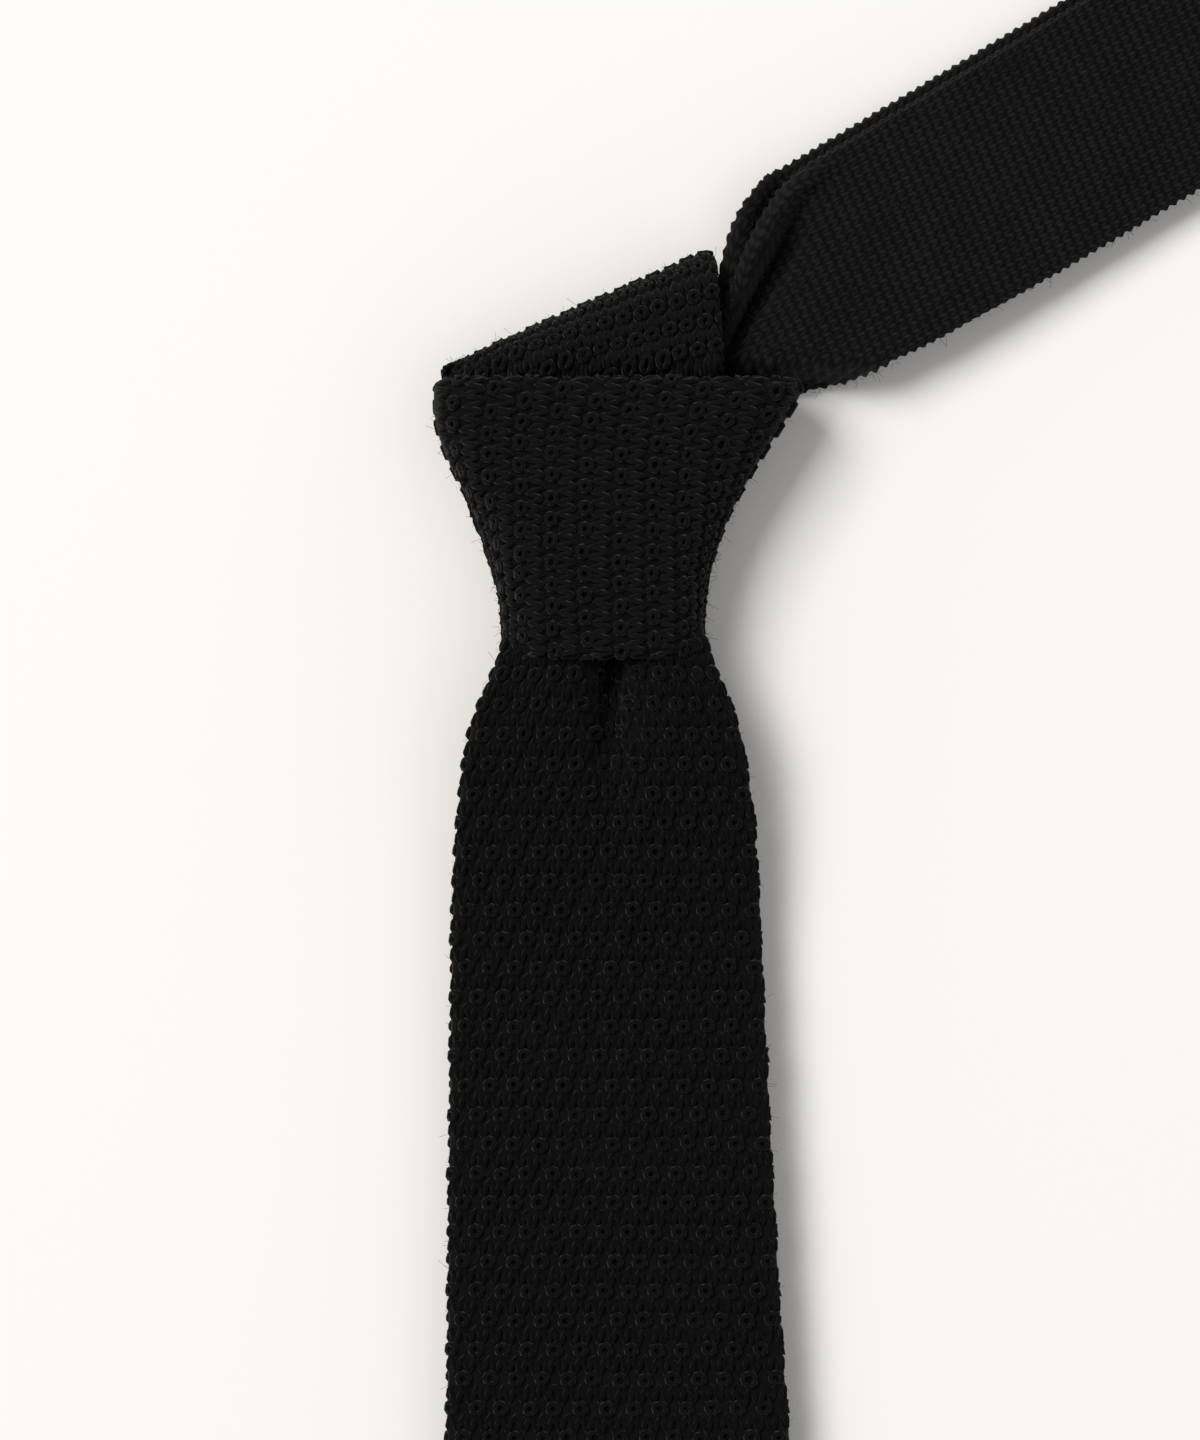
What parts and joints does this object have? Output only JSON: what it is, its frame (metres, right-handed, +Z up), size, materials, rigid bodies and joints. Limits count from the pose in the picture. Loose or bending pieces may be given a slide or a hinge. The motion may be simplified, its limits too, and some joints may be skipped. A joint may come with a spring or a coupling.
{
  "type": "necktie",
  "caption": "Chunky knitted necktie tied in a small four-in-hand knot and laid flat, its neck loop folded to one side.",
  "frame": {"origin": "on the table under the middle of the knot", "axes": "+Z up from the table, +Y from the front blade's tip to the knot, +X to the right of the knot seen from above"},
  "size_m": [0.2178, 0.6235, 0.0189],
  "materials": {
    "blade_knit": "black wool yarn, open knit with rows of small rings",
    "neckband_knit": "black wool, fine plain knit",
    "sewing_thread": "black sewing thread",
    "keeper_strip": "black woven ribbon",
    "label_ribbon": "black satin ribbon, blank"
  },
  "bodies": {
    "knot": {"knot_front_band": "blade_knit", "knot_back_wrap": "blade_knit", "knot_tail_pass": "neckband_knit", "knot_inner_crossing": "blade_knit", "blade_join_seam": "sewing_thread", "knot_blade_pass": "blade_knit", "knot_top_wrap": "blade_knit", "neckband_knot_pass": "neckband_knit", "knot_rising_wrap": "blade_knit"},
    "front_blade": {"front_blade_upper": "blade_knit", "keeper_loop": "keeper_strip", "keeper_bar_tacks": "sewing_thread", "tail_feed": "neckband_knit"},
    "blade_tip": {"front_blade_lower": "blade_knit", "front_hem_seam": "sewing_thread"},
    "tail": {"tail_neck_end": "neckband_knit", "tail_join_seam": "sewing_thread", "tail_blade": "blade_knit", "tail_hem_seam": "sewing_thread", "care_label": "label_ribbon", "label_stitches": "sewing_thread"},
    "neck_loop": {"neckband_front_arm": "neckband_knit", "neckband_back_arm": "neckband_knit"},
    "loop_bend": {"neckband_bend": "neckband_knit"}
  },
  "joints": [
    {"name": "front_blade_lift", "type": "hinge", "parent": "knot", "child": "front_blade", "pos_m": [0, -0.026, 0.0138], "axis": [-1, 0, 0], "range_deg": [0, 75]},
    {"name": "blade_tip_fold", "type": "hinge", "parent": "front_blade", "child": "blade_tip", "pos_m": [0, -0.374, 0.0079], "axis": [-1, 0, 0], "range_deg": [0, 150]},
    {"name": "tail_slide", "type": "slide", "parent": "front_blade", "child": "tail", "axis": [-0.0304, 0.9995, 0], "range_m": [0, 0.06], "deforming": ["tail_feed"]},
    {"name": "neck_loop_lift", "type": "hinge", "parent": "knot", "child": "neck_loop", "pos_m": [0.02829, 0.03358, 0.0069], "axis": [0.515, -0.8572, 0], "range_deg": [0, 60]},
    {"name": "loop_grow", "type": "slide", "parent": "neck_loop", "child": "loop_bend", "axis": [0.8572, 0.515, 0], "range_m": [0, 0.03]}
  ],
  "couplings": [
    {"joint": "loop_grow", "follows": "tail_slide", "ratio": 0.5}
  ]
}
